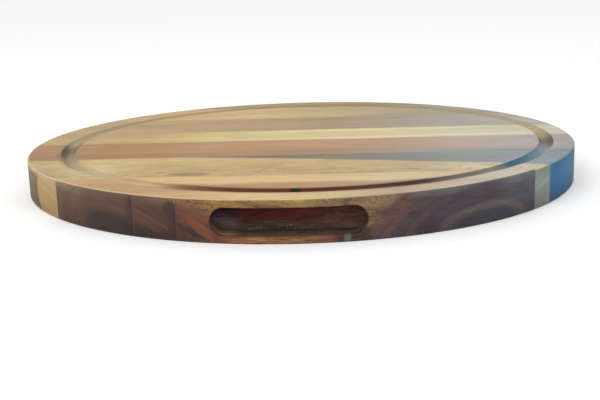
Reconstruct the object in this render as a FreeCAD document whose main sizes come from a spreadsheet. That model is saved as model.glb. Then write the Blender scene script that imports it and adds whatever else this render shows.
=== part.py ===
"""Round edge-grain cutting board: six hardwood staves glued side by side, cut to a
disc, with a juice groove round the top and a finger slot in the front and back edge.

Millimetres. The origin is the middle of the underside, +Z up. The staves run along X,
and the finger slot of the front edge looks along -Y.
"""
import FreeCAD, Part
import math
import os
import Sketcher
from FreeCAD import Vector

os.makedirs("parts", exist_ok=True)
doc = FreeCAD.newDocument("round_cutting_board")

# Driving dimensions. Every size below is bound to one of these cells.
DIMENSIONS = {
    "board_diameter": 380.0,
    "board_thickness": 25.0,
    # the sharp arrises are eased all round
    "top_arris": 1.0,
    "bottom_arris": 1.0,
    # plain rim left outside the juice groove, as an average: the groove's circle lies
    # a little off the middle of the board, along the staves
    "rim_width": 18.0,
    "groove_width": 10.0,
    "groove_depth": 2.8,
    "groove_offset": 4.3,
    # finger slots: size of the mouth, wood left under it, and depth in from the rim
    "slot_length": 87.0,
    "slot_height": 16.0,
    "slot_lower_lip": 4.5,
    "slot_depth": 16.0,
    # where the joint between the third and fourth staves lies, and the stave widths
    "middle_joint_place": -4.5,
    "second_stave_width": 61.5,
    "third_stave_width": 58.0,
    "fourth_stave_width": 44.5,
    "fifth_stave_width": 58.0,
    # what the glued panel stands proud of the finished disc on every side
    "panel_allowance": 5.0,
}
sheet = doc.addObject("Spreadsheet::Sheet", "dims")
for row, (name, value) in enumerate(DIMENSIONS.items(), start=1):
    sheet.set("A%d" % row, name)
    sheet.set("B%d" % row, str(value))
    sheet.setAlias("B%d" % row, name)
doc.recompute()

# A sketch constraint names a point of an element by its place in the first list, and
# counts the sketch's own axes down from zero.
POINTS = ["whole", "start", "end", "centre"]
START = POINTS.index("start")
END = POINTS.index("end")
CENTRE = POINTS.index("centre")
AXES = ["none", "horizontal", "vertical"]
ROOT_POINT = (-AXES.index("horizontal"), START)
VERTICAL_AXIS = (-AXES.index("vertical"),)
PLANE_Z = Vector(0, 0, 1)


def size(name):
    """The value of a driving dimension."""
    return sheet.get(name)


def origin_plane(body, role):
    """The body's own origin plane of this role, such as XZ_Plane."""
    return [plane for plane in body.Origin.OriginFeatures if plane.Role == role][0]


def sketch_on(body, role, name):
    """A sketch attached flat to one of the body's origin planes."""
    sketch = body.newObject("Sketcher::SketchObject", name)
    sketch.AttachmentSupport = (origin_plane(body, role), [""])
    sketch.MapMode = "FlatFace"
    return sketch


def join(sketch, kind, *places):
    """Adds a constraint that has no size, such as a tangent."""
    flat_places = [number for place in places for number in place]
    sketch.addConstraint(Sketcher.Constraint(kind, *flat_places))


def bind(sketch, kind, name, expression, *places):
    """Adds a dimension to the sketch and ties it to the spreadsheet."""
    flat_places = [number for place in places for number in place]
    start_value = float(sheet.evalExpression(expression.replace("dims.", "")))
    index = sketch.addConstraint(Sketcher.Constraint(kind, *flat_places, start_value))
    sketch.renameConstraint(index, name)
    sketch.setExpression("Constraints." + name, expression)


# The shaped disc: what the cutters leave of the glued panel.
disc = doc.addObject("PartDesign::Body", "shaped_disc")

# Round slab, of the board's outline and thickness.
outline = sketch_on(disc, "XY_Plane", "round_outline")
rim = outline.addGeometry(Part.Circle(Vector(0, 0, 0), PLANE_Z, size("board_diameter") / 2))
join(outline, "Coincident", (rim, CENTRE), ROOT_POINT)
bind(outline, "Radius", "rim_radius", "dims.board_diameter / 2", (rim,))
slab = disc.newObject("PartDesign::Pad", "round_slab")
slab.Profile = outline
slab.setExpression("Length", "dims.board_thickness")
doc.recompute()


def rim_edge(feature, height):
    """Name of the slab's circular edge nearest this height."""
    rings = [(abs(edge.CenterOfMass.z - height), number)
             for number, edge in enumerate(feature.Shape.Edges, start=1) if edge.isClosed()]
    return "Edge%d" % min(rings)[1]


# Small chamfers along the top and bottom arris.
top_chamfer = disc.newObject("PartDesign::Chamfer", "top_arris_chamfer")
top_chamfer.Base = (slab, [rim_edge(slab, size("board_thickness"))])
top_chamfer.setExpression("Size", "dims.top_arris")
doc.recompute()
bottom_chamfer = disc.newObject("PartDesign::Chamfer", "bottom_arris_chamfer")
bottom_chamfer.Base = (top_chamfer, [rim_edge(top_chamfer, 0)])
bottom_chamfer.setExpression("Size", "dims.bottom_arris")
doc.recompute()

# Juice groove: a round-nosed cutter, as wide as the groove at the surface, led round
# a circle. The nose radius follows from the groove's width and depth.
NOSE = "((dims.groove_width / 2) ^ 2 + dims.groove_depth ^ 2) / (2 * dims.groove_depth)"
PATH_RADIUS = "dims.board_diameter / 2 - dims.rim_width - dims.groove_width / 2"
cutter = sketch_on(disc, "XZ_Plane", "groove_cutter")
top = size("board_thickness")
axis_x = size("groove_offset")
rough_nose = size("groove_width") / 2
rough_path = size("board_diameter") / 2 - size("rim_width") - rough_nose
path_axis = cutter.addGeometry(Part.LineSegment(Vector(axis_x, top, 0), Vector(axis_x, 2 * top, 0)), True)
nose = cutter.addGeometry(Part.Circle(Vector(axis_x + rough_path, top, 0), PLANE_Z, rough_nose))
join(cutter, "Vertical", (path_axis,))
bind(cutter, "DistanceX", "axis_place", "dims.groove_offset", ROOT_POINT, (path_axis, START))
bind(cutter, "DistanceY", "axis_start", "dims.board_thickness", ROOT_POINT, (path_axis, START))
bind(cutter, "DistanceY", "axis_reach", "dims.board_thickness", (path_axis, START), (path_axis, END))
bind(cutter, "Radius", "nose_radius", NOSE, (nose,))
bind(cutter, "DistanceX", "path_radius", PATH_RADIUS, (path_axis, START), (nose, CENTRE))
bind(cutter, "DistanceY", "nose_height", "dims.board_thickness - dims.groove_depth + " + NOSE,
     ROOT_POINT, (nose, CENTRE))
juice_groove = disc.newObject("PartDesign::Groove", "juice_groove")
juice_groove.Profile = cutter
juice_groove.ReferenceAxis = (cutter, ["Axis0"])
juice_groove.Angle = 360
doc.recompute()

# Front finger slot: a round-ended mouth, cut square to the front edge. Its sketch
# stands at the slot's inner wall, and the pocket runs from there out past the rim.
mouth = sketch_on(disc, "XZ_Plane", "slot_mouth")
mouth.setExpression("AttachmentOffset.Base.z", "dims.board_diameter / 2 - dims.slot_depth")
end_r = size("slot_height") / 2
half_run = size("slot_length") / 2 - end_r
middle = size("slot_lower_lip") + end_r
quarter = math.pi / 2
right_end = mouth.addGeometry(Part.ArcOfCircle(
    Part.Circle(Vector(half_run, middle, 0), PLANE_Z, end_r), -quarter, quarter))
left_end = mouth.addGeometry(Part.ArcOfCircle(
    Part.Circle(Vector(-half_run, middle, 0), PLANE_Z, end_r), quarter, 3 * quarter))
ceiling = mouth.addGeometry(Part.LineSegment(
    Vector(half_run, middle + end_r, 0), Vector(-half_run, middle + end_r, 0)))
floor = mouth.addGeometry(Part.LineSegment(
    Vector(-half_run, middle - end_r, 0), Vector(half_run, middle - end_r, 0)))
join(mouth, "Tangent", (right_end, END), (ceiling, START))
join(mouth, "Tangent", (ceiling, END), (left_end, START))
join(mouth, "Tangent", (left_end, END), (floor, START))
join(mouth, "Tangent", (floor, END), (right_end, START))
join(mouth, "Symmetric", (left_end, CENTRE), (right_end, CENTRE), VERTICAL_AXIS)
bind(mouth, "Radius", "end_radius", "dims.slot_height / 2", (right_end,))
bind(mouth, "DistanceX", "straight_run", "dims.slot_length - dims.slot_height",
     (left_end, CENTRE), (right_end, CENTRE))
bind(mouth, "DistanceY", "mouth_height", "dims.slot_lower_lip + dims.slot_height / 2",
     ROOT_POINT, (right_end, CENTRE))
front_slot = disc.newObject("PartDesign::Pocket", "front_finger_slot")
front_slot.Profile = mouth
front_slot.Type = "ThroughAll"
front_slot.Reversed = True
doc.recompute()

# Back finger slot: the same cut on the far edge.
back_slot = disc.newObject("PartDesign::Mirrored", "back_finger_slot")
back_slot.Originals = [front_slot]
back_slot.MirrorPlane = (origin_plane(disc, "XZ_Plane"), [""])
disc.Tip = back_slot
doc.recompute()


def panel_stave(name, low_side, width):
    """One plank of the glued panel: low_side is its joint nearer the front edge."""
    plank = doc.addObject("Part::Box", name + "_plank")
    plank.setExpression("Length", "dims.board_diameter + 2 * dims.panel_allowance")
    plank.setExpression("Width", width)
    plank.setExpression("Height", "dims.board_thickness + 2 * dims.panel_allowance")
    plank.setExpression("Placement.Base.x", "-dims.board_diameter / 2 - dims.panel_allowance")
    plank.setExpression("Placement.Base.y", low_side)
    plank.setExpression("Placement.Base.z", "-dims.panel_allowance")
    return plank


# The staves from front to back. The joints are counted from the middle one, so the
# front and back staves take up whatever is left out to the rim.
MIDDLE_JOINT = "dims.middle_joint_place"
SECOND_JOINT = MIDDLE_JOINT + " - dims.third_stave_width"
FIRST_JOINT = SECOND_JOINT + " - dims.second_stave_width"
FOURTH_JOINT = MIDDLE_JOINT + " + dims.fourth_stave_width"
FIFTH_JOINT = FOURTH_JOINT + " + dims.fifth_stave_width"
PANEL_REACH = "dims.board_diameter / 2 + dims.panel_allowance"
STAVES = [
    ("front_stave", "-(%s)" % PANEL_REACH, "%s + %s" % (FIRST_JOINT, PANEL_REACH)),
    ("second_stave", FIRST_JOINT, "dims.second_stave_width"),
    ("third_stave", SECOND_JOINT, "dims.third_stave_width"),
    ("fourth_stave", MIDDLE_JOINT, "dims.fourth_stave_width"),
    ("fifth_stave", FOURTH_JOINT, "dims.fifth_stave_width"),
    ("back_stave", FIFTH_JOINT, "%s - (%s)" % (PANEL_REACH, FIFTH_JOINT)),
]
finished = []
for name, low_side, width in STAVES:
    stave = doc.addObject("Part::Common", name)
    stave.Base = panel_stave(name, low_side, width)
    stave.Tool = disc
    stave.Label = name
    finished.append(stave)
doc.recompute()

for item in doc.Objects:
    if "Invalid" in item.State or "Error" in item.State:
        raise RuntimeError("%s did not recompute: %s" % (item.Label, item.State))

# The groove and the slots must take wood away, and the staves must fill the disc.
slab_volume = bottom_chamfer.Shape.Volume
grooved_volume = juice_groove.Shape.Volume
slotted_volume = front_slot.Shape.Volume
disc_volume = disc.Shape.Volume
if not slab_volume > grooved_volume > slotted_volume > disc_volume:
    raise RuntimeError("a cut took nothing away")
stave_volume = sum(stave.Shape.Volume for stave in finished)
volume_tolerance = 1e-4 * disc_volume
if abs(stave_volume - disc_volume) > volume_tolerance:
    raise RuntimeError("the staves do not fill the disc")

for stave in finished:
    if stave.Shape.isNull() or not stave.Shape.isValid() or len(stave.Shape.Solids) != 1:
        raise RuntimeError("%s is not one sound solid" % stave.Label)
    stave.Shape.exportStep("parts/%s.step" % stave.Label)
    print("%-14s %8.1f cm3" % (stave.Label, stave.Shape.Volume / 1000))
print("groove took %.1f cm3, each slot %.1f cm3" % (
    (slab_volume - grooved_volume) / 1000, (grooved_volume - slotted_volume) / 1000))
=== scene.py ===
# %% [markdown]
# A round cutting board, dressed in its wood.
#
# The real board is a stack of six planks, glued side by side, planed, and cut to a
# disc. A round-nosed cutter then led a juice groove round the top, and a straight
# cutter sank a finger slot in the front edge and one in the back. Those cuts and the
# sizes come with the imported model, so this lesson is about what the tools leave
# behind: the grain. It shows how one recipe for solid wood, fed with where the heart
# of each tree lay, gives long stripes on the top and arches on the end grain, all from
# the same pattern. The dark walls of the groove are burn and painted shade laid over it.

# %% Load the imported board
import math

import bpy
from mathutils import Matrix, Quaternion, Vector


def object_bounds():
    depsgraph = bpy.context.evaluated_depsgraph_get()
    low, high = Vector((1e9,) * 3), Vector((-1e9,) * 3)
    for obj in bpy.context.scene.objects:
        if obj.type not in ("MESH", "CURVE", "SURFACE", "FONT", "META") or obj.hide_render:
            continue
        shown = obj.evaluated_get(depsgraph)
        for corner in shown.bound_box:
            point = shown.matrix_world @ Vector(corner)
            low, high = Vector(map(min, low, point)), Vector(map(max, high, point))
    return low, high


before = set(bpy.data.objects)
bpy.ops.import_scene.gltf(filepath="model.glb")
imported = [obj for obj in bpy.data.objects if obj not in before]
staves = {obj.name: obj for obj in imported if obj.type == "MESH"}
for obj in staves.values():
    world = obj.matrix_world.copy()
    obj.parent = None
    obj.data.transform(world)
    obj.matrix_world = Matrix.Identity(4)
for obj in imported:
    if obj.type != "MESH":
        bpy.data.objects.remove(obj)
bpy.context.view_layer.update()
cad_low, cad_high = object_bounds()
print("staves:", sorted(staves))
print("board box in metres:", tuple(cad_low), tuple(cad_high))

# %% [markdown]
# The camera comes first, because every choice of colour is judged through it. It
# stands a little over 0.7 m off, only 11 degrees above the table, so the round top
# shows as a slim ellipse. The board is turned a little: its slot faces slightly past
# the camera, which is the same as the camera standing a little to the right. The
# camera also leans, which lifts the board's right side in the picture. A target point
# and a roll say all of this in three short lines, with no shift of the lens.

# %% Camera
MM = 0.001
LENS = 61.55
CAMERA_DISTANCE = 738.8 * MM
CAMERA_SIDEWAYS = math.radians(2.4)
CAMERA_HEIGHT_ANGLE = math.radians(10.79)
CAMERA_ROLL = math.radians(-1.76)
AIM = Vector((-1.4, -6.7, -18.5)) * MM
SENSOR_WIDTH = 36
FARTHEST_SEEN = 120

board_middle = (cad_low + cad_high) / 2
towards_camera = Vector((
    math.sin(CAMERA_SIDEWAYS) * math.cos(CAMERA_HEIGHT_ANGLE),
    -math.cos(CAMERA_SIDEWAYS) * math.cos(CAMERA_HEIGHT_ANGLE),
    math.sin(CAMERA_HEIGHT_ANGLE),
))
camera = bpy.data.objects.new("camera", bpy.data.cameras.new("camera"))
camera.data.lens = LENS
camera.data.sensor_width = SENSOR_WIDTH
camera.data.clip_end = FARTHEST_SEEN
camera.location = board_middle + towards_camera * CAMERA_DISTANCE
camera.rotation_mode = "QUATERNION"
level_view = (AIM - camera.location).to_track_quat("-Z", "Y")
camera.rotation_quaternion = level_view @ Quaternion((0, 0, 1), CAMERA_ROLL)
bpy.context.scene.collection.objects.link(camera)
bpy.context.scene.camera = camera
print("camera at", tuple(round(c, 3) for c in camera.location))

# %% [markdown]
# The board stands on a plain pale floor that runs on past the picture's edges, also
# when a later view looks along it from behind. A floor could be made white by strong
# lamps, but they would bleach the wood as well. So the floor's own colour is nearly
# white, and a faint glow that only the camera and the board's sheen can see lifts it the
# rest of the way. The board's soft shadow stays on it. The floor is only part of the
# stage.

# %% Floor
FLOOR_RADIUS = 45.0
FLOOR_SIDES = 96
FLOOR_TONE = (0.93, 0.93, 0.93, 1)
FLOOR_ROUGHNESS = 0.9
FLOOR_SHEEN = 0.1
FLOOR_GLOW = 0.2
WHITE = (1, 1, 1, 1)

bpy.ops.mesh.primitive_circle_add(
    vertices=FLOOR_SIDES, radius=FLOOR_RADIUS, fill_type="NGON")
floor = bpy.context.object
floor.name = "floor"
floor_paint = bpy.data.materials.new("pale_floor")
floor_paint.use_nodes = True
floor_shader = floor_paint.node_tree.nodes["Principled BSDF"]
floor_shader.inputs["Base Color"].default_value = FLOOR_TONE
floor_shader.inputs["Roughness"].default_value = FLOOR_ROUGHNESS
floor_shader.inputs["Specular IOR Level"].default_value = FLOOR_SHEEN
floor_shader.inputs["Emission Color"].default_value = WHITE
ray = floor_paint.node_tree.nodes.new("ShaderNodeLightPath")
seen = floor_paint.node_tree.nodes.new("ShaderNodeMath")
seen.operation = "MAXIMUM"
glow = floor_paint.node_tree.nodes.new("ShaderNodeMath")
glow.operation = "MULTIPLY"
glow.inputs[1].default_value = FLOOR_GLOW
floor_paint.node_tree.links.new(ray.outputs["Is Camera Ray"], seen.inputs[0])
floor_paint.node_tree.links.new(ray.outputs["Is Glossy Ray"], seen.inputs[1])
floor_paint.node_tree.links.new(seen.outputs[0], glow.inputs[0])
floor_paint.node_tree.links.new(glow.outputs[0], floor_shader.inputs["Emission Strength"])
floor.data.materials.append(floor_paint)
print("floor radius", FLOOR_RADIUS, "m")

# %% [markdown]
# The light is a soft studio light. A plain white sky gives most of it, so no shadow is
# hard and every colour shows about as it is written. One large lamp above and to the
# left of the camera gives the rim and the groove a light side and a dark side.

# %% Lights
SKY_LEVEL = 0.77
LAMP_POWER = 13.0
LAMP_SIDE = 1.2
LAMP_PLACE = Vector((-0.9, -1.3, 1.5))

world = bpy.data.worlds.new("studio_sky")
world.use_nodes = True
sky = world.node_tree.nodes["Background"]
sky.inputs["Color"].default_value = WHITE
sky.inputs["Strength"].default_value = SKY_LEVEL
bpy.context.scene.world = world

lamp_data = bpy.data.lights.new("soft_lamp", "AREA")
lamp_data.shape = "SQUARE"
lamp_data.size = LAMP_SIDE
lamp_data.energy = LAMP_POWER
lamp = bpy.data.objects.new("soft_lamp", lamp_data)
lamp.location = LAMP_PLACE
lamp.rotation_mode = "QUATERNION"
lamp.rotation_quaternion = (board_middle - LAMP_PLACE).to_track_quat("-Z", "Y")
bpy.context.scene.collection.objects.link(lamp)
bpy.context.scene.view_settings.view_transform = "Standard"
print("sky level", SKY_LEVEL, "and one lamp of", LAMP_POWER, "W")

# %% [markdown]
# Wood is the same stuff all the way through, so its pattern has to be worked out from
# the place of each point, not drawn on the surface. That takes sums: a distance from
# the heart of the tree, a share of one tone in another. Blender does sums with Math
# nodes, which are slow to read in long chains. A Reading wraps what comes out of a
# node, so that a sum written in the usual signs adds the right Math node by itself.

# %% Sums that turn into nodes
class Reading:
    """A number that differs from point to point, as it comes out of a node."""

    def __init__(self, finish, socket):
        self.finish = finish
        self.socket = socket

    def __add__(self, other):
        return self.finish.math("ADD", self, other)

    def __radd__(self, other):
        return self.finish.math("ADD", other, self)

    def __sub__(self, other):
        return self.finish.math("SUBTRACT", self, other)

    def __rsub__(self, other):
        return self.finish.math("SUBTRACT", other, self)

    def __mul__(self, other):
        return self.finish.math("MULTIPLY", self, other)

    def __truediv__(self, other):
        return self.finish.math("DIVIDE", self, other)

    def __pow__(self, other):
        return self.finish.math("POWER", self, other)

    def __abs__(self):
        return self.finish.math("ABSOLUTE", self)


print("sums are ready")

# %% [markdown]
# Tones are written as a picture editor shows them, from 0 to 255. Blender mixes light
# in linear values, so each one is converted on its way in.

# %% Tones
def linear(level):
    level = level / 255
    return level / 12.92 if level <= 0.04045 else ((level + 0.055) / 1.055) ** 2.4


def tone(red, green, painted_skylight_left_end):
    return (linear(red), linear(green), linear(painted_skylight_left_end), 1.0)


print("mid grey in linear light:", round(tone(128, 128, 128)[0], 3))

# %% [markdown]
# A Finish is one material in the making. It starts with the three numbers that every
# recipe needs: how far along the grain a point lies (x), how far across it (y) and how
# high (z), all in millimetres. They come from Object coordinates, so the grain stays in
# the wood whatever the shape of the surface. The call named node adds any node by its
# kind, links or sets what goes into it, and gives back what comes out.

# %% Start of a finish
class FinishStart:
    """A new material with the readings that every recipe starts from."""

    def __init__(self, name):
        self.material = bpy.data.materials.new(name)
        self.material.use_nodes = True
        self.nodes = self.material.node_tree.nodes
        self.links = self.material.node_tree.links
        self.shader = self.nodes["Principled BSDF"]
        metres = self.nodes.new("ShaderNodeTexCoord").outputs["Object"]
        millimetres = self.node(
            "ShaderNodeVectorMath", metres, (1 / MM, 1 / MM, 1 / MM), operation="MULTIPLY")
        self.x, self.y, self.z = self.split(millimetres)
        facing = self.split(self.nodes.new("ShaderNodeNewGeometry").outputs["Normal"])
        self.facing_x, self.facing_up = facing[0], facing[2]

    def feed(self, socket, value):
        if isinstance(value, Reading):
            value = value.socket
        if isinstance(value, bpy.types.NodeSocket):
            self.links.new(value, socket)
        else:
            socket.default_value = value

    def node(self, kind, *values, **settings):
        made = self.nodes.new(kind)
        for setting, value in settings.items():
            setattr(made, setting, value)
        for socket, value in zip(made.inputs, values):
            self.feed(socket, value)
        return Reading(self, made.outputs[0])

    def math(self, operation, first, second=0.0):
        return self.node("ShaderNodeMath", first, second, operation=operation)

    def split(self, vector):
        parts = self.nodes.new("ShaderNodeSeparateXYZ")
        self.feed(parts.inputs[0], vector)
        return [Reading(self, part) for part in parts.outputs]


print("a finish can start")

# %% [markdown]
# The recipes use a few kinds of node again and again, so each gets a call of its own:
# cloudy noise, a fade from 0 to 1, a blend of two tones, a shade, or bands of tones along
# a number. Two more calls put fades together, as the soft mask of a spot or of a stretch.
# A Mix node has sockets of the same name for every kind of value, so those for colours
# are found by their numbers.

# %% A finish and its tools
MIX_AMOUNT, MIX_UNDER, MIX_OVER = 0, 6, 7
MIX_RESULT = 2


class Finish(FinishStart):
    """One wood finish. Each call adds nodes and gives back what comes out of them."""

    def noise(self, along, across, up, detail=2.0, roughness=0.5):
        place = self.node("ShaderNodeCombineXYZ", along, across, up)
        made = self.nodes.new("ShaderNodeTexNoise")
        self.feed(made.inputs["Vector"], place)
        made.inputs["Scale"].default_value = 1.0
        made.inputs["Detail"].default_value = detail
        made.inputs["Roughness"].default_value = roughness
        return Reading(self, made.outputs[0])

    def fade(self, value, start, end):
        """0 up to the start, 1 from the end on, and a smooth curve between them."""
        return self.node(
            "ShaderNodeMapRange", value, start, end, interpolation_type="SMOOTHSTEP")

    def blend(self, amount, under, over, how="MIX"):
        made = self.nodes.new("ShaderNodeMix")
        made.data_type = "RGBA"
        made.blend_type = how
        self.feed(made.inputs[MIX_AMOUNT], amount)
        self.feed(made.inputs[MIX_UNDER], under)
        self.feed(made.inputs[MIX_OVER], over)
        return Reading(self, made.outputs[MIX_RESULT])

    def shade(self, colour, amount):
        made = self.nodes.new("ShaderNodeVectorMath")
        made.operation = "SCALE"
        self.feed(made.inputs["Vector"], colour)
        self.feed(made.inputs["Scale"], amount)
        return Reading(self, made.outputs[0])

    def ramp(self, value, stops):
        start, end = stops[0][0], stops[-1][0]
        share = self.node("ShaderNodeMapRange", value, start, end)
        made = self.nodes.new("ShaderNodeValToRGB")
        self.feed(made.inputs[0], share)
        row = made.color_ramp.elements
        while len(row) < len(stops):
            row.new(1.0)
        for element, (place, colour) in zip(row, stops):
            element.position = (place - start) / (end - start)
            element.color = colour
        return Reading(self, made.outputs[0])

    def bands(self, value, stops):
        """A ramp of tones: each stop is a place and its red, green and blue."""
        return self.ramp(value, [(place, tone(*levels)) for place, *levels in stops])

    def spot(self, first, middle_1, half_1, second, middle_2, half_2):
        """1 in the middle of a soft oval, and 0 a little outside its half sizes."""
        one = (first - middle_1) / half_1
        two = (second - middle_2) / half_2
        return self.fade(one * one + two * two, 1.7, 0.3)

    def within(self, value, low, high, soft):
        """1 between two values and 0 outside them, with soft ends."""
        rise = self.fade(value, low - soft, low + soft)
        return rise * self.fade(value, high + soft, high - soft)


print("finish tools are ready")

# %% [markdown]
# Grain is the heart of the lesson. A tree adds a ring a year round its heart, so every
# tone in a plank follows one number: the distance from the heart line. On the top face
# that distance gives long stripes, on the sawn end it gives arches, and in the groove the
# same rings come out curved, under the groove's burn and painted shade. The heart line is
# given per stave. Slow noise sways the rings, because no tree is a perfect cylinder, and
# quick noise along the same distance gives bands and growth lines. Fibres and pores run
# along x.

# %% Grain
class Grain:
    """The readings of one stave's grain, from where the heart of its tree lay."""

    def __init__(self, finish, heart_y, heart_z, seed, lean=0.0, tilt=0.0, sway=5.0):
        x, y, z = finish.x, finish.y, finish.z
        slow = finish.noise(x / 170, y / 45 + seed, z / 45, detail=2.0)
        self.across = y - heart_y - x * lean
        up = z - heart_z - x * tilt
        ring = (self.across * self.across + up * up) ** 0.5
        self.sway = (slow - 0.5) * (2 * sway)
        self.ring = ring + self.sway
        self.broad = finish.noise(x / 420, self.ring / 15, seed + 3, 2.0, 0.5)
        self.band = finish.noise(x / 190, self.ring / 4.5, seed, 3.0, 0.6)
        self.line = finish.noise(x / 80, self.ring / 1.1, seed + 7, 2.0, 0.6)
        self.fibre = finish.noise(x / 11, y / 0.6 + seed, z / 0.6, 2.0, 0.6)
        self.cloud = finish.noise(x / 30, y / 13 + seed, z / 13, 3.0, 0.55)
        pits = finish.noise(x / 4.5, y / 0.42, z / 0.42 + seed, 1.0)
        self.pore = finish.fade(pits, 0.64, 0.74)


print("grain is ready")

# %% [markdown]
# Some marks don't come from the tree but from the shop, so they follow the board's own
# shape: its joints, its rim, its groove and its slots. The model could be asked for each
# face, but a finish only knows the place of the point it colours. So the sizes of the
# board are named once, and small helpers turn them into masks from 0 to 1.

# %% Places on the board
JOINTS = (-124.0, -62.5, -4.5, 40.0, 98.0)
BOARD_RADIUS = 190.0
BOARD_TOP = 25.0
ARRIS = 1.0
GROOVE_OFFSET = 4.3
GROOVE_INSIDE = 162.0
GROOVE_OUTSIDE = 172.0
SLOT_HALF_LENGTH = 43.5
SLOT_FLOOR = 4.5
SLOT_CEILING = 20.5
SLOT_RADIUS = (SLOT_CEILING - SLOT_FLOOR) / 2


def from_board_middle(finish):
    return (finish.x * finish.x + finish.y * finish.y) ** 0.5


def from_groove_middle(finish):
    aside = finish.x - GROOVE_OFFSET
    return (aside * aside + finish.y * finish.y) ** 0.5


def inside_groove(finish):
    ring = finish.within(from_groove_middle(finish), GROOVE_INSIDE - 1, GROOVE_OUTSIDE + 1, 0.3)
    return ring * finish.fade(finish.z, BOARD_TOP - 0.02, BOARD_TOP - 0.25)


def inside_slot(finish):
    inside = finish.fade(from_board_middle(finish), BOARD_RADIUS - 1.4, BOARD_RADIUS - 2.4)
    inside = inside * finish.within(finish.z, SLOT_FLOOR - 0.2, SLOT_CEILING + 0.2, 0.1)
    inside = inside * finish.fade(abs(finish.x), SLOT_HALF_LENGTH + 0.6, SLOT_HALF_LENGTH)
    return inside * finish.fade(abs(finish.y), 160, 165)


print("groove from", GROOVE_INSIDE, "to", GROOVE_OUTSIDE, "mm")

# %% [markdown]
# A round-nosed cutter that is led slowly round a circle heats up, and it burns hard
# heartwood more than soft sapwood. On this board the groove is red-brown in front, blue
# where it crosses the stained wedge, and cream or tan elsewhere. Its tones are partly
# that burn and partly painted shade, for the modelled groove is shallower than the real
# one. The burn has nothing to do with the rings, so it is mixed from a ramp of tones by
# the angle round the board, and the cloudy noise shifts that angle a little so that no
# tone ends in a ruled line. The angle is 0 at the front slot and grows to the right.

# %% Groove: tones of the burn and painted shade
def groove_tones(finish, turn):
    # These tones hold the burn and the painted shade of a deeper groove.
    return finish.bands(turn, [
        (-180, 166, 148, 108), (-108, 180, 166, 132), (-94, 184, 176, 142),
        (-82, 126, 114, 96), (-72, 164, 151, 122), (-64, 178, 163, 131),
        (-52, 188, 171, 136), (-32, 212, 184, 146), (-24, 144, 106, 78), (-14, 118, 68, 40),
        (4, 110, 56, 38), (15, 108, 72, 60), (24, 92, 69, 64), (36, 128, 116, 104),
        (46, 128, 128, 122), (51, 40, 96, 130), (58, 62, 112, 126), (67, 112, 140, 150),
        (75, 140, 148, 158), (83, 114, 95, 76), (98, 185, 170, 128), (180, 166, 148, 108)])


print("groove tones are ready")

# %% [markdown]
# The two walls don't burn alike. At both ends of the board the outer wall is darkest,
# partly from its burn and partly from painted shade.
# At the lower left the brink of the inner wall has a pale painted highlight and a reddish
# line, and in front it is dark.

# %% Groove: its two walls
GROOVE_MIDDLE = (GROOVE_INSIDE + GROOVE_OUTSIDE) / 2


def groove_walls(finish, turn, stain):
    away = from_groove_middle(finish)
    outer = finish.fade(away, GROOVE_MIDDLE - 0.5, GROOVE_MIDDLE + 2.5)
    # Burn and painted shade: the outer wall darkens at both ends of the board.
    scorched_and_shaded = finish.within(turn, -88, -74, 4) + finish.within(turn, 77, 88, 4)
    stain = finish.blend(outer * scorched_and_shaded * 0.7, stain, tone(66, 60, 62))
    stain = finish.blend(
        outer * finish.within(turn, -72, -54, 5) * 0.55, stain, tone(128, 114, 100))
    stain = finish.blend(
        outer * finish.within(turn, 55, 74, 4) * 0.5, stain, tone(160, 168, 172))
    dusky = (1 - outer) * finish.within(turn, -113, -83, 6)
    stain = finish.blend(dusky * 0.8, stain, tone(106, 99, 76))
    brink = finish.fade(away, GROOVE_INSIDE + 2, GROOVE_INSIDE + 0.5)
    # Painted highlight: a pale glint along the inner brink at the lower left.
    painted_brink_glint = brink * finish.within(turn, -66, -50, 4)
    stain = finish.blend(painted_brink_glint * 0.35, stain, tone(214, 202, 170))
    reddish = brink * finish.within(turn, -44, -24, 5)
    stain = finish.blend(reddish * 0.25, stain, tone(150, 98, 78))
    brink = finish.fade(away, GROOVE_INSIDE + 2.5, GROOVE_INSIDE + 0.5)
    front = finish.within(turn, -20, 30, 5) * 0.25
    both_ends = finish.fade(abs(turn), 78, 86) * 0.5
    return finish.shade(stain, 1 - brink * (front + both_ends))


print("groove walls are ready")

# %% [markdown]
# In front and at the left, where the burn is deep, a soft scorch also runs beside the
# groove: on both sides of it in front, and only on the outer side at the left.

# %% Groove: scorch beside it
def scorch_beside_groove(finish, turn, colour):
    away = from_groove_middle(finish)
    scorch = finish.fade(away, GROOVE_INSIDE - 4.5, GROOVE_INSIDE)
    scorch = scorch * finish.fade(away, GROOVE_OUTSIDE + 4, GROOVE_OUTSIDE)
    scorch = scorch * finish.fade(finish.z, BOARD_TOP - 5, BOARD_TOP - 1)
    front = finish.within(turn, -27, 30, 6)
    colour = finish.blend(scorch * front * 0.66, colour, tone(116, 78, 60))
    outer = finish.fade(away, GROOVE_MIDDLE - 1, GROOVE_MIDDLE + 3)
    left = finish.within(turn, -92, -58, 5) * outer
    return finish.blend(scorch * left * 0.6, colour, tone(128, 112, 88))


def stain_and_shade_groove(finish, grain, colour, strength=0.85):
    """Burns the groove's walls and paints shade into them, by the angle round the board from
    the front slot.
    """
    turn = finish.math("ARCTAN2", finish.x - GROOVE_OFFSET, 0 - finish.y) * (180 / math.pi)
    turn = turn + (grain.cloud - 0.5) * 6
    stain = groove_walls(finish, turn, groove_tones(finish, turn))
    colour = scorch_beside_groove(finish, turn, colour)
    return finish.blend(inside_groove(finish) * strength, colour, stain)


print("groove stains are ready")

# %% [markdown]
# What every stave shares is fine grain, laid on its tone as light and dark, and thin
# dark glue lines. End grain drinks more oil, so the staves behind get darker there. The
# two in front have tones of their own for it.

# %% Fine grain and glue lines
PORE_SHADE = 0.18
GLUE_SHADE = 0.35


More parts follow.
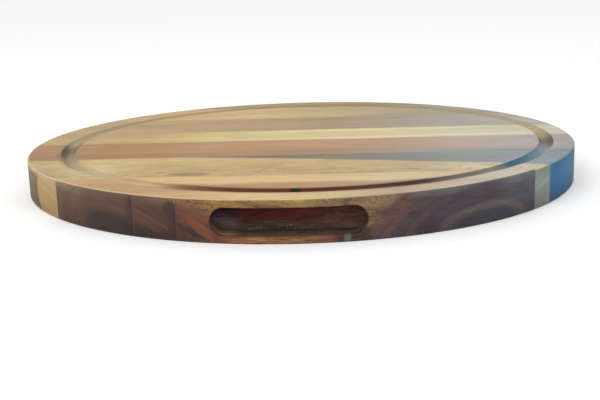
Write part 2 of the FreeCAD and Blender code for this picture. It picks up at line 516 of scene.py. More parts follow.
def fine_grain(finish, grain, joints, end_shade):
    level = 1
    for part, share in (
            (grain.band, 0.5), (grain.broad, 0.45), (grain.line, 0.34),
            (grain.fibre, 0.24), (grain.cloud, 0.28)):
        level = level + (part - 0.5) * share
    level = level - grain.pore * PORE_SHADE
    upright = finish.fade(abs(finish.facing_up), 0.75, 0.35)
    level = level * (1 - upright * abs(finish.facing_x) ** 2 * end_shade)
    for joint in joints:
        glue = finish.fade(abs(finish.y - joint), 0.5, 0.1)
        level = level * (1 - glue * GLUE_SHADE)
    return level


print("fine grain is ready")

# %% [markdown]
# The eased top edge shows a thin pale line on its left side, partly rubbed wear and
# partly a painted highlight. At the far left end the wear also reaches a few millimetres
# down the rim.

# %% Rubbed edges and painted highlight
WORN_HEIGHT = 3.4


def rub_and_highlight_edges(finish, colour):
    away = from_board_middle(finish)
    # Partly wear and partly painted highlight: a thin pale line along the arris on the left.
    rubbed_and_highlit = finish.fade(away, BOARD_RADIUS - ARRIS, BOARD_RADIUS - 0.8)
    rubbed_and_highlit = rubbed_and_highlit * finish.fade(finish.z, BOARD_TOP - 0.7, BOARD_TOP - 0.4)
    rubbed_and_highlit = rubbed_and_highlit * finish.fade(finish.x, 20, -70)
    colour = finish.blend(rubbed_and_highlit * 0.6, colour, tone(240, 214, 186))
    worn = finish.fade(away, BOARD_RADIUS - 1.6, BOARD_RADIUS - ARRIS)
    worn = worn * finish.fade(finish.z, BOARD_TOP - WORN_HEIGHT, BOARD_TOP - ARRIS)
    worn = worn * finish.fade(finish.x, -135, -165)
    return finish.blend(worn * 0.6, colour, tone(206, 178, 142))


print("edges are worn", WORN_HEIGHT, "mm down at the far left")

# %% [markdown]
# Last comes the oil's soft sheen over a bump of fibres and pores. In the groove the burn
# hides most of the fine grain, and burnt wood is dry, so it hardly shines.

# %% Oil
SHEEN = 0.22
SHEEN_LOST_BY_BURNING = 0.15
ROUGHNESS = 0.55
BUMP_STRENGTH = 0.35
BUMP_HEIGHT = 0.12 * MM


def dress(finish, colour, grain, joints, end_shade=0.3):
    """Lays fine grain, worn edges with a painted highlight and the oil's sheen over a stave's
    own colour.
    """
    level = fine_grain(finish, grain, joints, end_shade)
    level = 1 + (level - 1) * (1 - inside_groove(finish) * 0.7)
    colour = rub_and_highlight_edges(finish, finish.shade(colour, level))
    finish.feed(finish.shader.inputs["Base Color"], colour)
    rough = (grain.cloud - 0.5) * 0.2 + grain.pore * 0.15 + ROUGHNESS
    finish.feed(finish.shader.inputs["Roughness"], rough)
    burnt = inside_groove(finish) + inside_slot(finish)
    sheen = SHEEN - burnt * SHEEN_LOST_BY_BURNING
    finish.feed(finish.shader.inputs["Specular IOR Level"], sheen)
    relief = grain.fibre * 0.5 + grain.line * 0.3 - grain.pore
    bump = finish.nodes.new("ShaderNodeBump")
    bump.inputs["Strength"].default_value = BUMP_STRENGTH
    bump.inputs["Distance"].default_value = BUMP_HEIGHT
    finish.feed(bump.inputs["Height"], relief)
    finish.feed(finish.shader.inputs["Normal"], bump.outputs[0])
    return finish.material


print("oil is ready")

# %% [markdown]
# The front stave tells most. Its heart line runs low along the stave, so the sawn rim
# shows the rings as arches at both ends: a dark core, a pale ring, brown heartwood, a
# red ring and then tan sapwood, which reaches the rim only round the slot. The left end
# is browner and the right end more purple. One pattern of rings with two rows of tones,
# blended along x, gives both ends from the same tree. Behind the heart line the rings
# stop at the brown ones, so no sapwood shows there.

# %% Front stave: heartwood rings
BROWN_RINGS_END = 23
SAPWOOD_REACH = 40


def front_rings(finish, grain):
    near = finish.fade(grain.across, 2, -8)
    ring = grain.ring + (grain.cloud - 0.5) * 4
    ring = finish.math("MINIMUM", ring, near * SAPWOOD_REACH + BROWN_RINGS_END)
    brown_end = finish.bands(ring, [
        (0, 80, 60, 50), (14, 88, 66, 55), (19, 88, 65, 54), (22, 89, 60, 50),
        (24.5, 82, 58, 50), (27, 83, 58, 50), (29.5, 92, 62, 50), (33.5, 114, 80, 58),
        (38, 148, 115, 68), (50, 162, 131, 78)])
    purple_end = finish.bands(ring, [
        (0, 74, 68, 76), (14, 78, 69, 78), (20, 78, 69, 77), (25, 74, 63, 71),
        (30, 82, 68, 70), (36, 94, 74, 70), (40, 118, 95, 78), (46, 146, 120, 88),
        (54, 154, 128, 92)])
    return finish.blend(finish.fade(finish.x, -30, 35), brown_end, purple_end)


print("front stave rings are ready")

# %% [markdown]
# At the left end of the rim a dark core lies low in the plank. At the right end the
# heart shows as a dull core under one pale arch, flatter than a half circle. Beyond
# them the plank turns paler towards the top; part of that is a painted shade on its foot.

# %% Front stave: core and arch
def front_ends(finish, grain, wood):
    x, z = finish.x, finish.z
    flat = (grain.across - 6.5) / 2.0
    core = finish.fade((flat * flat + z * z) ** 0.5 + grain.sway, 17, 9)
    core = core * finish.fade(x, -20, -60)
    wood = finish.blend(core * 0.9, wood, tone(54, 46, 43))
    # Beyond the heart both ends darken towards the foot, partly as painted shade.
    height = z + (grain.cloud - 0.5) * 6
    beyond = finish.fade(grain.across, 6, 18) * finish.fade(x, -60, -100)
    wood = finish.blend(beyond * 0.8, wood, finish.bands(height, [
        (0, 79, 58, 46), (10, 93, 71, 55), (18, 106, 82, 63), (25, 144, 122, 97)]))
    beyond = finish.fade(grain.across, -2, 10) * finish.fade(x, 60, 110)
    wood = finish.blend(beyond * 0.8, wood, finish.bands(height, [
        (0, 74, 72, 84), (12, 84, 82, 95), (20, 90, 87, 97), (25, 112, 107, 110)]))
    flat = (grain.across + 3) * 0.68
    arch = (flat * flat + z * z) ** 0.5 + grain.sway + (grain.cloud - 0.5) * 2
    right = finish.fade(x, 72, 92)
    core = finish.fade(arch, 10, 7) * right
    wood = finish.blend(core * 0.6, wood, tone(68, 68, 78))
    band = finish.fade(arch, 8.5, 12) * finish.fade(arch, 14.8, 12) * right
    return finish.blend(band * 0.7, wood, tone(112, 99, 95))


print("core and arch are ready")

# %% [markdown]
# Between the rings run thin red and dark lines. They follow the rings, but they break
# off and start again, as gum lines do. Noise that is long along x and short across the
# rings draws them, and where it runs above or below the middle it turns red or dark.

# %% Front stave: red and dark streaks
def grey(level):
    """An amount from 0 to 1, written as a tone."""
    return (level, level, level, 1)


def front_streaks(finish, grain, wood):
    x, z = finish.x, finish.z
    outward = finish.fade(grain.across, 0, -10)
    streak = finish.noise(x / 40, grain.ring / 1.6, 5.0 + grain.cloud * 0.8, 3.0, 0.65)
    strength = finish.ramp(x, [
        (-110, grey(0.15)), (-84, grey(0.5)), (-62, grey(0.6)), (-40, grey(0.6)),
        (40, grey(0.8)), (62, grey(0.4)), (80, grey(0.25)), (110, grey(0))])
    red = finish.fade(streak, 0.46, 0.6) * finish.within(grain.ring, 26, 32, 2)
    red = red * outward * strength * finish.fade(z, 20, 13)
    wood = finish.blend(red * 0.7, wood, tone(136, 74, 50))
    dark = finish.fade(streak, 0.46, 0.36) * finish.fade(grain.ring, 18, 24) * outward
    dark = dark * (1 - finish.fade(x, 50, 66) * 0.5)
    return finish.blend(dark * 0.35, wood, tone(46, 38, 38))


print("ring streaks are ready")

# %% [markdown]
# Left of the slot the rings run askew, so a few streaks there leave them and slant down
# from the drying checks: pale lines, then one broad red flame over a dark gap. A duller
# flame slants the other way right of the slot. A curve that falls faster and faster
# gives them all their slant.

# %% Front stave: slanting flames
CHECKS = (-90.1, -63.7)


def over_slant(finish, grain, start_x, start_z, way=1):
    """How high a point lies over a streak that slants down from a place towards +x or -x."""
    run = (finish.x - start_x) * way
    return finish.z - start_z + run * 0.33 + run * run * 0.006 + (grain.cloud - 0.5) * 3


def front_flames(finish, grain, wood):
    x = finish.x
    outward = finish.fade(grain.across, 0, -10)
    over = over_slant(finish, grain, CHECKS[1], 14.5)
    torn = finish.noise(x / 18, over / 0.9, 4.0, 3.0, 0.65)
    flame = finish.fade(abs(over), 4.2, 1.0) * finish.within(x, -62.5, -37, 1.5) * outward
    wood = finish.blend(
        flame * finish.fade(torn, 0.36, 0.62) * 0.48, wood, tone(142, 76, 56))
    upper = finish.fade(abs(over - 6), 2.4, 0.6) * finish.within(x, -60, -44, 4) * outward
    wood = finish.blend(
        upper * finish.fade(torn, 0.42, 0.6) * 0.5, wood, tone(138, 78, 56))
    across = over_slant(finish, grain, 64.0, 15.5, way=-1)
    torn = finish.noise(x / 18, across / 0.9, 8.0, 3.0, 0.65)
    dull = finish.fade(abs(across), 4.0, 1.0) * finish.within(x, 41, 66, 2) * outward
    wood = finish.blend(
        dull * finish.fade(torn, 0.36, 0.62) * 0.55, wood, tone(122, 72, 66))
    gap = finish.fade(abs(over + 4.6), 1.7, 0.5) * finish.within(x, -58, -45, 4) * outward
    wood = finish.blend(gap * 0.75, wood, tone(42, 42, 36))
    first = over_slant(finish, grain, CHECKS[0], 17.0)
    pale = finish.fade(abs(first), 0.9, 0.2) + finish.fade(abs(first - 4.2), 0.8, 0.2) * 0.7
    pale = pale + finish.fade(abs(first + 4.8), 2.4, 0.2) * 0.6
    pale = pale * finish.within(x, -88, -67, 3) * outward
    return finish.blend(pale * 0.3, wood, tone(130, 84, 70))


print("flames start at x =", CHECKS, "mm")

# %% [markdown]
# Broad, soft changes of tone lie over the rings. The foot of the rim is darker between
# the checks and towards the right end, a painted shade, and its upper edge is paler, a
# painted highlight. A coarse noise scuffs it right of the slot.

# %% Front stave: painted light and shade on the rim
LESS_BLUE = (0.98, 0.87, 0.82, 1)


def front_painted_light_and_shade(finish, grain, wood):
    x, y, z = finish.x, finish.y, finish.z
    # Painted shade: the foot of the rim between the checks.
    dusk = finish.within(x, -88, -64, 3) * finish.fade(z, 9, 2)
    wood = finish.blend(dusk * 0.75, wood, tone(52, 40, 40))
    # Painted highlight: the upper edge of the rim, grey at the right end and warm at the left.
    high = finish.fade(z + (grain.cloud - 0.5) * 6, 17, 25.5)
    wood = finish.blend(high * finish.fade(x, 60, 125) * 0.4, wood, tone(124, 120, 126))
    high = high * finish.within(x, -122, -48, 10)
    warm = finish.blend(finish.fade(x, -80, -60), tone(132, 104, 86), tone(172, 126, 82))
    wood = finish.blend(high * 0.5, wood, warm)
    # Painted shade: the foot of the rim towards the right end.
    low = finish.fade(z, 11, 3) * finish.fade(x, 50, 80)
    wood = finish.shade(wood, 1 - low * 0.28)
    scuff = finish.noise(x / 14, y / 14, z / 1.4 + 5, 3.0, 0.6)
    wood = finish.shade(wood, 1 + (scuff - 0.5) * finish.fade(x, 44, 56) * 0.7)
    low = finish.fade(z, 16, 8) * finish.fade(x, -60, -72)
    return finish.blend(low, wood, LESS_BLUE, "MULTIPLY")


print("shades are ready")

# %% [markdown]
# Sapwood is the young outer wood. Cut across, it is yellow and full of open pores, and
# where the plank lay askew in the tree the lines in it waver. Contour lines of a noise
# do just that: wherever its value passes the middle, a thin line is drawn. Beside the
# slot the same wood breaks up into specks.

# %% Front stave: sapwood over the slot
def front_sapwood(finish, grain, wood):
    x, y, z = finish.x, finish.y, finish.z
    outward = finish.fade(grain.across, -4, -12)
    sapwood = finish.fade(grain.ring, 31, 36) * outward
    wavy = finish.noise(x / 20, y / 3.4, z / 2.1 + grain.cloud * 2, 1.5, 0.5)
    glow = finish.fade(wavy, 0.4, 0.65) * sapwood * finish.fade(abs(x), 56, 36)
    wood = finish.blend(glow * 0.55, wood, tone(186, 149, 82))
    lines = finish.fade(abs(wavy - 0.44), 0.026, 0.005)
    lines = lines + finish.fade(abs(wavy - 0.52), 0.02, 0.004) * 0.6
    lines = lines + finish.fade(abs(wavy - 0.6), 0.024, 0.005) * 0.8
    wood = finish.blend(lines * sapwood * 0.7, wood, tone(76, 54, 34))
    specks = finish.noise(x / 0.9, y / 0.9, z / 0.7, 2.0, 0.6)
    rough = finish.within(x, 34, 68, 8) + finish.within(x, -60, -40, 8)
    rough = rough * finish.fade(grain.ring, 28, 35) * outward
    sandy = rough * finish.within(x, 38, 60, 8) * finish.fade(z, 16, 22)
    wood = finish.blend(sandy * 0.8, wood, tone(150, 122, 94))
    wood = finish.blend(
        finish.fade(specks, 0.52, 0.66) * rough * 0.4, wood, tone(74, 56, 48))
    pits = finish.fade(specks, 0.57, 0.68) * sapwood
    wood = finish.blend(pits * 0.35, wood, tone(80, 60, 40))
    torn = finish.within(x, 12, 56, 8) * finish.within(z, 22.9, 24.7, 0.4) * outward
    wood = finish.blend(
        finish.fade(specks, 0.51, 0.62) * torn * 0.5, wood, tone(84, 66, 52))
    olive = finish.spot(x, 84.0, 17.0, z, 23.8, 2.4)
    return finish.blend(olive * 0.5, wood, tone(104, 112, 104))


print("sapwood is ready")

# %% [markdown]
# Under the slot a lip only a few millimetres thick is left. It cuts through the red
# ring, so it is orange-tan with dark streaks along it. Only the rim's own face gets
# this tone, and the rest of the lip belongs to the slot.

# %% Front stave: lip under the slot
def lower_lip(finish, wood):
    x, y, z = finish.x, finish.y, finish.z
    lip = finish.fade(z, SLOT_FLOOR + 0.7, SLOT_FLOOR - 0.3) * finish.within(x, -36, 27, 7)
    lip = lip * finish.fade(from_board_middle(finish), BOARD_RADIUS - 3.5, BOARD_RADIUS - 2.5)
    shape = finish.noise(x / 9, y / 2, z / 0.9, 3.0, 0.65)
    orange = finish.bands(shape, [
        (0.32, 62, 42, 32), (0.43, 118, 78, 50), (0.52, 144, 100, 62), (0.62, 160, 118, 74),
        (0.74, 186, 144, 94)])
    orange = finish.blend(finish.fade(x, -12, -32) * 0.4, orange, tone(146, 76, 52))
    orange = finish.blend(finish.fade(x, 4, 22) * 0.5, orange, tone(126, 72, 52))
    return finish.blend(lip * 0.85, wood, orange)


print("lip is ready")

# %% [markdown]
# Two drying checks stand upright left of the slot. Each is a thin dark crack with a painted
# shade on its left and a painted highlight on its lit right lip, swayed a little by noise.

# %% Front stave: drying checks
def front_rim(finish):
    return finish.fade(from_board_middle(finish), BOARD_RADIUS - 3, BOARD_RADIUS - 2)


def wavering(grain):
    return (grain.fibre - 0.5) * 0.8 + (grain.cloud - 0.5) * 2


def front_checks(finish, grain, wood):
    x, z = finish.x, finish.z
    rim = front_rim(finish)
    sway = wavering(grain)
    for check in CHECKS:
        ajar = finish.within(z, 2, 24, 3) * rim
        aside = x + sway - check
        # Per check: painted shade on the left, the crack, and a painted highlight on the right
        # lip.
        for line, reach, core, amount, colour in (
                (aside + 1.2, 4.0, 0.5, 0.4, tone(44, 38, 42)),
                (aside, 1.0, 0.2, 0.5, tone(40, 32, 34)),
                (aside - 1.4, 0.8, 0.2, 0.3, tone(118, 72, 60))):
            mark = finish.fade(abs(line), reach, core) * ajar
            wood = finish.blend(mark * amount, wood, colour)
    splinter = finish.fade(abs(x - CHECKS[1] - 0.4), 0.5, 0.1) * finish.fade(z, 20.5, 22.5)
    wood = finish.blend(splinter * rim * 0.4, wood, tone(204, 168, 124))
    shadow = finish.spot(x, -66.8, 3.4, z, 18.6, 4.0) * rim
    return finish.blend(shadow * 0.6, wood, tone(46, 44, 46))


print("checks at x =", CHECKS, "mm")

# %% [markdown]
# A few marks are single events: two bruises right of the slot, a dark knot with a
# grey-green plug of filler beside it in the lip, a smudge over the slot, and a thin
# scorched line round it.

# %% Front stave: single marks
def front_marks(finish, grain, wood):
    x, z = finish.x, finish.z
    rim = front_rim(finish)
    ragged = x + wavering(grain) * 2
    bruises = finish.spot(ragged, 69.6, 3.4, z, 11.7, 2.6)
    bruises = bruises + finish.spot(ragged - (z - 20.5) * 1.2, 60.5, 3.2, z, 20.5, 3.4)
    wood = finish.blend(bruises * rim * 0.4, wood, tone(54, 44, 44))
    knot = finish.spot(x + (grain.cloud - 0.5) * 6, 35.5, 10.0, z, 3.0, 6.0) * rim
    wood = finish.blend(knot * 0.8, wood, tone(44, 34, 32))
    filler = finish.spot(x, 31.9, 2.0, z, 2.9, 3.0) * rim
    wood = finish.blend(filler * 0.9, wood, tone(98, 104, 94))
    end = finish.math("MAXIMUM", abs(x) - SLOT_HALF_LENGTH + SLOT_RADIUS, 0)
    up = z - SLOT_FLOOR - SLOT_RADIUS
    gap = (end * end + up * up) ** 0.5 - SLOT_RADIUS + (grain.cloud - 0.5) * 2
    wood = finish.blend(finish.fade(gap, 1.5, 0) * rim * 0.35, wood, tone(66, 44, 36))
    smudge = finish.spot(x - (z - 22) * 0.4, 32.0, 1.6, z, 22.2, 2.2) * rim
    return finish.blend(smudge * 0.4, wood, tone(60, 50, 46))


print("single marks are ready")

# %% [markdown]
# Inside the slot the cutter ran through red heartwood and burnt it. The roof is nearly
# black, the wall red-brown and its foot grey-green, the left end bluish and the right
# end brown. The darkening towards the roof is partly burn and partly painted shade, and
# the bluish left end is painted sky light, as a rounded end would catch it. So the walls
# get three rows of tones by height, blended along x.

# %% Slot: burnt tones and painted shade
def slot_tones(finish, grain):
    height = finish.z + (grain.cloud - 0.5) * 7
    # Each row darkens upwards to the roof: burn and painted shade.
    red = finish.bands(height, [
        (4, 86, 76, 68), (8, 102, 76, 64), (11, 104, 56, 46), (15, 110, 46, 36),
        (18, 72, 36, 29), (21, 48, 28, 22)])
    # Painted light: the bluish left end stands for sky light on a rounded end of the cut.
    painted_skylight_left_end = finish.bands(height, [
        (4, 94, 84, 82), (9, 110, 92, 104), (13, 82, 56, 60), (17, 54, 32, 32),
        (21, 42, 28, 27)])
    brown = finish.bands(height, [
        (4, 92, 76, 68), (8, 120, 92, 82), (11, 114, 79, 66), (15, 88, 54, 44),
        (18, 60, 36, 29), (21, 46, 29, 23)])
    along = finish.x + (grain.cloud - 0.5) * 20
    walls = finish.blend(finish.fade(along, -24, -36), red, painted_skylight_left_end)
    return finish.blend(finish.fade(along, 10, 28), walls, brown)


print("slot tones are ready")

# %% [markdown]
# Over those tones lie streaks of burn along the cutter's path, a painted shade at the
# left, torn fibres at the right and a little dust at the foot. At the lower left a tan
# painted highlight stands for light on a rounded end of the cut.

# %% Slot: streaks, torn fibres, dust and painted light
def front_slot_walls(finish, grain, wood):
    x, y, z = finish.x, finish.y, finish.z
    walls = slot_tones(finish, grain)
    # Painted shade: a darker place high on the wall at the left.
    deep = finish.spot(x, -25.0, 13.0, z, 14.0, 4.5)
    walls = finish.shade(walls, 1 - deep * 0.3)
    streak = finish.noise(x / 14, y / 3 + 9, z / 1.2, 4.0, 0.7)
    walls = finish.shade(walls, 1 + (streak - 0.5) * 2.2)
    torn = finish.noise(x / 5, y / 3 + 4, z / 1.8, 3.0, 0.65)
    torn = finish.fade(torn, 0.5, 0.62) * finish.fade(x, 12, 22) * finish.fade(z, 18, 15)
    walls = finish.blend(torn * 0.35, walls, tone(138, 104, 88))
    foot = finish.fade(z, 10, 8) * finish.fade(abs(x - 4), 30, 14)
    walls = finish.blend(foot * finish.fade(streak, 0.42, 0.6) * 0.35, walls, tone(102, 92, 76))
    # Painted highlight: the lower left end, lit tan.
    painted_lit_corner = finish.fade(y, -174.3, -175.5) * finish.fade(z, 12, 8) * finish.fade(x, -26, -34)
    walls = finish.blend(painted_lit_corner * 0.9, walls, tone(160, 120, 88))
    dust = finish.noise(x / 1.1, y / 1.1, z / 1.1, 1.0)
    lots = finish.within(x, -23, -16, 2) + finish.within(x, -5, 12, 3)
    dust = finish.fade(dust, 0.63, 0.7) * lots * finish.fade(z, 8.5, 6)
    walls = finish.blend(dust * 0.6, walls, tone(190, 186, 176))
    return finish.blend(inside_slot(finish) * 0.95, wood, walls)


print("slot from", SLOT_FLOOR, "to", SLOT_CEILING, "mm up")

# %% [markdown]
# The planed top of this stave is far paler than its rim, as if a thin skin of sapwood
# lay over the heartwood. A real mill can leave such a skin where the saw just missed the
# heart. It is laid on by height alone, so that it ends in a clean line at the arris, and
# the groove cuts down through it into the burnt wood.

# %% Front stave: the pale planed top
def front_top(finish, grain, wood):
    x, y, z = finish.x, finish.y, finish.z
    # The skin turns greyer and cooler towards the right end: a painted sheen.
    skin = finish.bands(x, [
        (-140, 204, 164, 116), (-100, 200, 160, 114), (-55, 208, 168, 118),
        (-25, 222, 193, 140), (25, 218, 194, 146), (60, 184, 161, 135),
        (100, 206, 190, 164), (150, 206, 200, 182)])
    inner = finish.fade(from_groove_middle(finish), GROOVE_INSIDE + 1, GROOVE_INSIDE - 1)
    skin = finish.blend(inner, skin, finish.bands(x, [
        (-90, 218, 186, 130), (0, 221, 191, 140), (90, 214, 193, 152)]))
    amber = finish.fade(y + (grain.cloud - 0.5) * 12, -141, -150) * inner
    amber_tone = finish.blend(finish.fade(x, 0, 50), tone(189, 141, 98), tone(190, 160, 124))
    skin = finish.blend(amber * 0.75, skin, amber_tone)
    on_top = finish.fade(z, BOARD_TOP - 0.4, BOARD_TOP - 0.05)
    return finish.blend(on_top, wood, skin)


print("planed top is ready")

# %% [markdown]
# The layers go on in the order in which things happened to the wood: first what the tree
# grew, then what the cutters burnt, then single marks, and last the planed top with its
# groove. Another order would let the rings show through the burn. A dark knot that the
# groove cuts open comes after the groove's burn, because it is darker still.

# %% Front stave: all together
finish = Finish("sapwood_and_heartwood_front")
grain = Grain(finish, -153.3, 0.0, 3.1, lean=0.039, sway=2.0)
wood = front_rings(finish, grain)
wood = front_ends(finish, grain, wood)
wood = front_streaks(finish, grain, wood)
wood = front_flames(finish, grain, wood)
wood = front_painted_light_and_shade(finish, grain, wood)
wood = front_sapwood(finish, grain, wood)
wood = lower_lip(finish, wood)
wood = front_slot_walls(finish, grain, wood)
wood = front_checks(finish, grain, wood)
wood = front_marks(finish, grain, wood)
wood = front_top(finish, grain, wood)
wood = stain_and_shade_groove(finish, grain, wood, 0.95)
knot = finish.spot(finish.x, 3.2, 3.2, finish.y, -165.0, 6.0) * inside_groove(finish)
wood = finish.blend(knot, wood, tone(30, 40, 34))
woods = {"front_stave": dress(finish, wood, grain, JOINTS[:1], end_shade=0.0)}
print("front stave:", len(finish.nodes), "nodes")

# %% [markdown]
# The second stave is cream sapwood. It is mottled where its fibres lie at a slant, it
# has one oval dark streak, and short dashes run along its front joint. Each could be a
# painted picture, but a picture repeats or blurs when somebody looks closer. One row of
# tones along x and noises of three sizes make them instead.

# %% Second stave: cream
def second_stave():
    finish = Finish("cream_stave_with_dark_wedge")
    x, y, z = finish.x, finish.y, finish.z
    grain = Grain(finish, -86.0, -60.0, 11.7, lean=0.01, tilt=0.02)
    # The row turns greyer and cooler towards the right end: a painted sheen.
    wood = finish.bands(x, [
        (-185, 167, 138, 101), (-158, 182, 160, 117), (-130, 209, 187, 137),
        (-90, 201, 173, 119), (0, 189, 162, 113), (70, 190, 168, 129),
        (130, 204, 194, 164)])
    warm = finish.fade(y, -100, -76) * finish.fade(x, 20, -60)
    wood = finish.blend(warm * 0.5, wood, tone(222, 188, 130))
    mottle = finish.noise(x / 13, y / 7, z / 7, 2.0, 0.6)
    wood = finish.shade(wood, 1 + (mottle - 0.5) * 0.4)
    oval = finish.spot(x, -64.0, 12.0, y + (grain.cloud - 0.5) * 8, -117.5, 4.5)
    wood = finish.blend(oval * 0.6, wood, tone(138, 106, 58))
    dashes = finish.noise(x / 8, y / 2.2, z / 2.2, 2.0)
    near_joint = finish.within(y, -123, -104, 3)
    wood = finish.blend(
        finish.fade(dashes, 0.54, 0.7) * near_joint * 0.6, wood, tone(136, 100, 62))
    return finish, grain, wood


print("second stave's cream is ready")

# %% [markdown]
# A wedge of blue-stained wood grows from nothing at the left to half the stave's width
# at the right end. It could be a plank of its own, but no glue line shows at its lower
# edge, so it is a mask on this stave. A curve gives its edge, which falls away from the
# joint a little faster than a straight line. End grain soaks up far more stain than the
# planed top, so the rim is strong blue. The top's paler, duller grey-blue is partly that
# stain and partly a painted sheen.

# %% Second stave: wedge
WEDGE_START = -70.0
WEDGE_DEPTH = 47.0
WEDGE_RUN = 225.0
DEEPER_ON_RIM = 5.0


def second_stave_wedge(finish, grain, wood, rim):
    x, y, z = finish.x, finish.y, finish.z
    run = finish.fade(x, WEDGE_START, WEDGE_START + 1) * (x - WEDGE_START) / WEDGE_RUN
    depth = (run ** 1.2) * WEDGE_DEPTH + rim * DEEPER_ON_RIM
    edge = JOINTS[1] - depth + (grain.cloud - 0.5) * 3
    wedge = finish.fade(y, edge - 2.5, edge + 2.5) * finish.fade(x, -72, -55)
    # The top's tones hold both the stain and a painted sheen, which grows towards the right.
    top_stain_and_sheen = finish.bands(x, [
        (-60, 112, 100, 85), (20, 131, 120, 101), (70, 128, 129, 122), (110, 143, 149, 145),
        (140, 146, 155, 160), (185, 132, 146, 152)])
    rim_tone = finish.bands(z + (grain.cloud - 0.5) * 10, [
        (0, 12, 68, 103), (8, 20, 91, 131), (16, 22, 107, 155), (25, 22, 102, 145)])
    stain = finish.blend(rim, top_stain_and_sheen, rim_tone)
    return finish.blend(wedge, wood, stain)


print("wedge is", WEDGE_DEPTH, "mm deep after", WEDGE_RUN, "mm")

# %% [markdown]
# The sawn ends of this stave look unlike its top. At the right end a grey-green patch
# stands between the joint and the blue. At the left end the cream is only a bulging
# patch, and heartwood shows behind it along an edge that bends as a ring does. Both are
# masks that reach no further in than the rim's own face.

# %% Second stave: its two ends
PATCH_EDGE = -110.0


def on_rim(finish):
    """1 on the rim's own face, below the eased edge."""
    face = finish.fade(from_board_middle(finish), BOARD_RADIUS - 2.5, BOARD_RADIUS - 0.8)
    return face * finish.fade(finish.z, BOARD_TOP - 0.4, BOARD_TOP - ARRIS)


def right_end(finish):
    return finish.fade(finish.x, 120, 135)


def second_stave_ends(finish, grain, wood, rim):
    x, y, z = finish.x, finish.y, finish.z
    # The tones of both ends darken towards the foot of the rim, partly as painted shade.
    right = right_end(finish) * finish.fade(y, PATCH_EDGE + 2.5, PATCH_EDGE) * rim
    wood = finish.blend(right, wood, finish.bands(z, [
        (0, 108, 114, 108), (7, 124, 130, 124), (16, 146, 154, 148), (25, 120, 131, 130)]))
    line = finish.spot(y, PATCH_EDGE, 1.8, z, 17.0, 12.0) * right_end(finish) * rim
    wood = finish.blend(line * 0.5, wood, tone(148, 146, 110))
    bulge = (z - 14 + (grain.cloud - 0.5) * 6) / 14
    edge = -96.5 - bulge * bulge * 7.0
    left = finish.fade(x, -120, -135) * rim
    heart = finish.fade(y, edge - 1.5, edge + 1.5) * left
    wood = finish.blend(heart, wood, finish.bands(z, [
        (0, 84, 69, 40), (12, 101, 82, 46), (25, 130, 108, 72)]))
    patch = left * (1 - heart)
    return finish.blend(patch * 0.8, wood, finish.bands(z, [
        (0, 146, 115, 65), (8, 160, 127, 75), (18, 177, 143, 93), (25, 181, 156, 109)]))


finish, grain, wood = second_stave()
rim = on_rim(finish)
wood = second_stave_wedge(finish, grain, wood, rim)
wood = second_stave_ends(finish, grain, wood, rim)
wood = stain_and_shade_groove(finish, grain, wood)
woods["second_stave"] = dress(finish, wood, grain, JOINTS[:2], end_shade=0.0)
print("second stave:", len(finish.nodes), "nodes")

# %% [markdown]
# The four staves behind need no map of their own. Each takes one row of tones along x,
# and its grain, joints and groove stain and shade do the rest. Towards the right end
# each row turns greyer and cooler, a painted sheen. The third is pink-brown heartwood.
# On its sawn rim at the right the blue of the wedge next to it has seeped across the
# joint. On its top beside that joint it greys towards the right under a painted sheen,
# and along the rest of that joint a narrow, soft edge is dull with a painted shadow.

# %% Third stave: pink-brown heartwood
finish = Finish("pink_brown_heartwood")
grain = Grain(finish, -20.0, -45.0, 21.3, lean=-0.02, tilt=0.03)
wood = finish.bands(finish.x, [
    (-185, 174, 138, 102), (-140, 182, 136, 88), (-40, 194, 149, 104), (60, 186, 151, 122),
    (110, 182, 163, 149), (150, 180, 168, 162), (185, 170, 161, 157)])
dusk = finish.within(finish.y, -59, -46, 5) * finish.fade(finish.x, 80, 0)
wood = finish.blend(dusk * 0.35, wood, tone(150, 110, 86))
# Painted shadow: a narrow, soft dull edge along the joint with the second stave.
painted_joint_shadow = finish.fade(finish.y, -54, -63) * finish.fade(finish.x, -120, -50)
wood = finish.blend(painted_joint_shadow * 0.65, wood, tone(138, 130, 116))
# Painted sheen: the top greys towards the right beside that joint.
painted_sheen_right = finish.fade(finish.y, -40, -60) * finish.fade(finish.x, 20, 80)
wood = finish.blend(painted_sheen_right * 0.5, wood, tone(159, 160, 166))
seep = on_rim(finish) * right_end(finish) * finish.fade(finish.y, -40, -55)
wood = finish.blend(seep, wood, tone(46, 104, 138))
wood = stain_and_shade_groove(finish, grain, wood)
woods["third_stave"] = dress(finish, wood, grain, JOINTS[1:3])
print("third stave:", len(finish.nodes), "nodes")

# %% [markdown]
# The fourth stave is the narrowest and by far the brightest: clean cream sapwood, sawn
# far from the heart, so its rings are wide and nearly straight.

# %% Fourth stave: bright cream sapwood
finish = Finish("bright_cream_sapwood")
grain = Grain(finish, 70.0, -60.0, 33.9, lean=0.015, tilt=-0.02)
# The row turns greyer and cooler towards the right end: a painted sheen.
wood = finish.bands(finish.x, [
    (-185, 190, 162, 118), (-120, 197, 166, 111), (-60, 217, 192, 136), (60, 226, 208, 160),
    (120, 220, 213, 180), (190, 206, 198, 178)])
wood = stain_and_shade_groove(finish, grain, wood)
woods["fourth_stave"] = dress(finish, wood, grain, JOINTS[2:4])
print("fourth stave:", len(finish.nodes), "nodes")

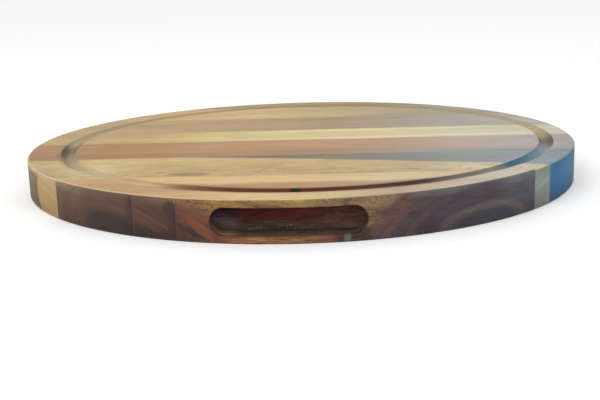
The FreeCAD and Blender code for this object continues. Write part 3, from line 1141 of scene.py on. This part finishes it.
# %% [markdown]
# The fifth stave is heartwood again, but grey-brown where the third is pink. It lies
# nearer to the heart of its tree, so its lines stand closer and lean a little.

# %% Fifth stave: grey-brown heartwood
finish = Finish("grey_brown_heartwood")
grain = Grain(finish, 62.0, -40.0, 45.2, lean=-0.02, tilt=0.04)
# The row turns greyer and cooler towards the right end: a painted sheen.
wood = finish.bands(finish.x, [
    (-170, 188, 158, 116), (-100, 192, 162, 116), (-50, 190, 159, 114), (20, 174, 148, 112),
    (90, 175, 163, 146), (170, 180, 174, 168)])
wood = stain_and_shade_groove(finish, grain, wood)
woods["fifth_stave"] = dress(finish, wood, grain, JOINTS[3:5])
print("fifth stave:", len(finish.nodes), "nodes")

# %% [markdown]
# The back stave is pale tan and turns olive towards the rim. The second finger slot is
# cut in it, out of the picture's sight. Its wood is softer than the front's heartwood,
# so the cutter only toasted it: the same mask as in front, with a much milder burn.

# %% Back stave: pale tan wood
finish = Finish("pale_tan_wood")
grain = Grain(finish, 150.0, -70.0, 58.6, lean=0.02, tilt=-0.03)
# The row turns greyer and cooler towards the right end: a painted sheen.
wood = finish.bands(finish.x, [
    (-140, 200, 166, 116), (-40, 208, 180, 130), (30, 191, 169, 123), (80, 175, 160, 132),
    (140, 168, 158, 140)])
deep = finish.fade(finish.y, 150, 168)
wood = finish.blend(deep * 0.55, wood, tone(136, 112, 72))
burn = finish.noise(finish.x / 14, finish.y / 3, finish.z / 0.9, 3.0, 0.65)
toast = finish.shade(tone(118, 88, 56)[:3], 1 + (burn - 0.5) * 1.6)
wood = finish.blend(inside_slot(finish) * 0.7, wood, toast)
wood = stain_and_shade_groove(finish, grain, wood)
woods["back_stave"] = dress(finish, wood, grain, JOINTS[4:])
print("back stave:", len(finish.nodes), "nodes")

# %% [markdown]
# The staves' own shapes are right as they came, so each keeps its mesh and only takes
# its new finish.

# %% Dress the staves
for name, material in woods.items():
    slots = staves[name].data.materials
    for place in range(len(slots)):
        slots[place] = material
print("dressed:", sorted(woods))
